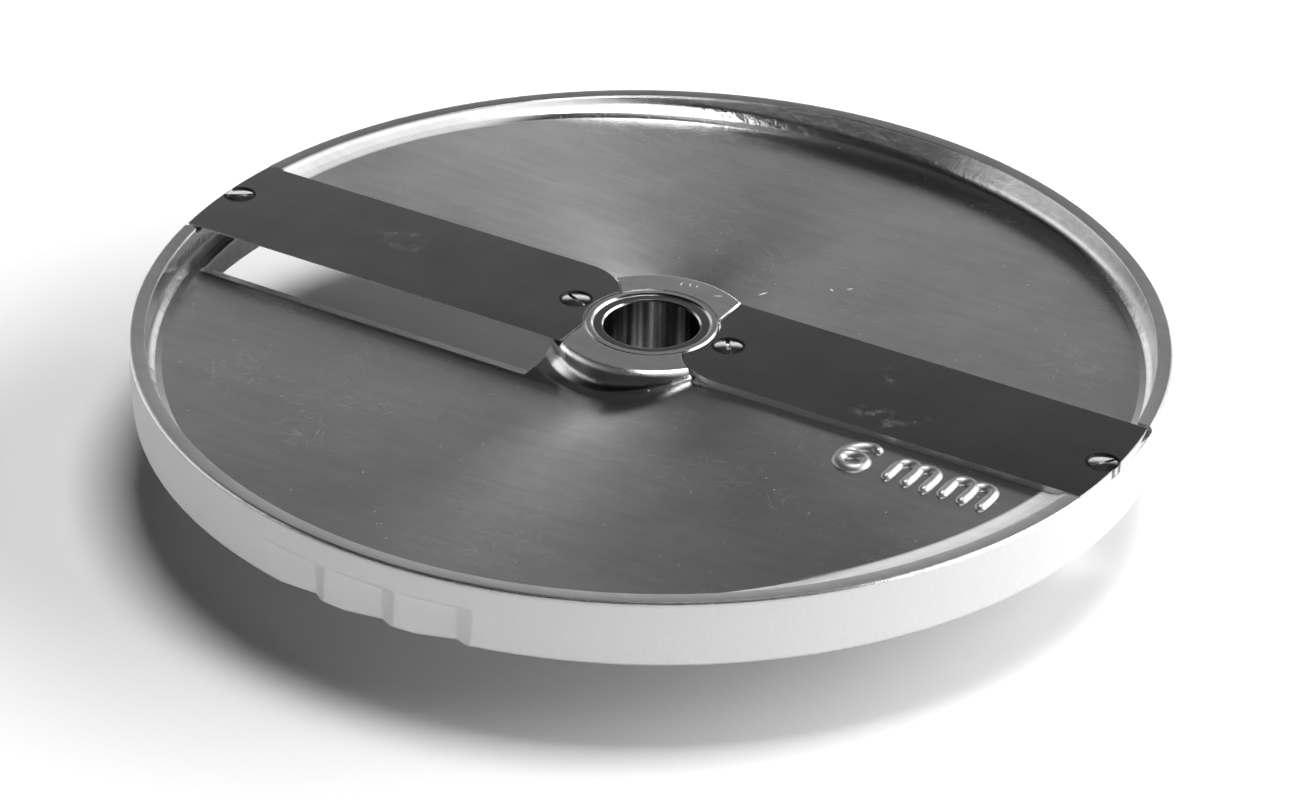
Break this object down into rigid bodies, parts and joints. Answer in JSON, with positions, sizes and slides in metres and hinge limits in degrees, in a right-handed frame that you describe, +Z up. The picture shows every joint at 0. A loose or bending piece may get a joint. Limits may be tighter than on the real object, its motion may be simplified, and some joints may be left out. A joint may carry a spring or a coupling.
{
  "type": "food processor slicing disc",
  "caption": "Round cast disc with a raised rim, sloping plates, straight slicing blades over open throats and a steel-bushed hub that fits a vegetable cutter's shaft.",
  "frame": {"origin": "on the bore axis at the underside of the bush, which is where the disc stands", "axes": "+Z up along the bore axis out of the cutting side, +X along the right-hand blade, +Y towards that blade's cutting edge"},
  "size_m": [0.205, 0.205, 0.033],
  "materials": {
    "cast_aluminium": "satin, lightly scratched cast and turned aluminium",
    "bush_steel": "turned steel, polished bore",
    "blade_steel": "dark ground blade steel",
    "screw_steel": "plain turned steel"
  },
  "bodies": {
    "root": {"disc_body": "cast_aluminium", "shaft_bush": "bush_steel", "blade_right": "blade_steel", "blade_left": "blade_steel", "blade_screws": "screw_steel"}
  },
  "joints": []
}
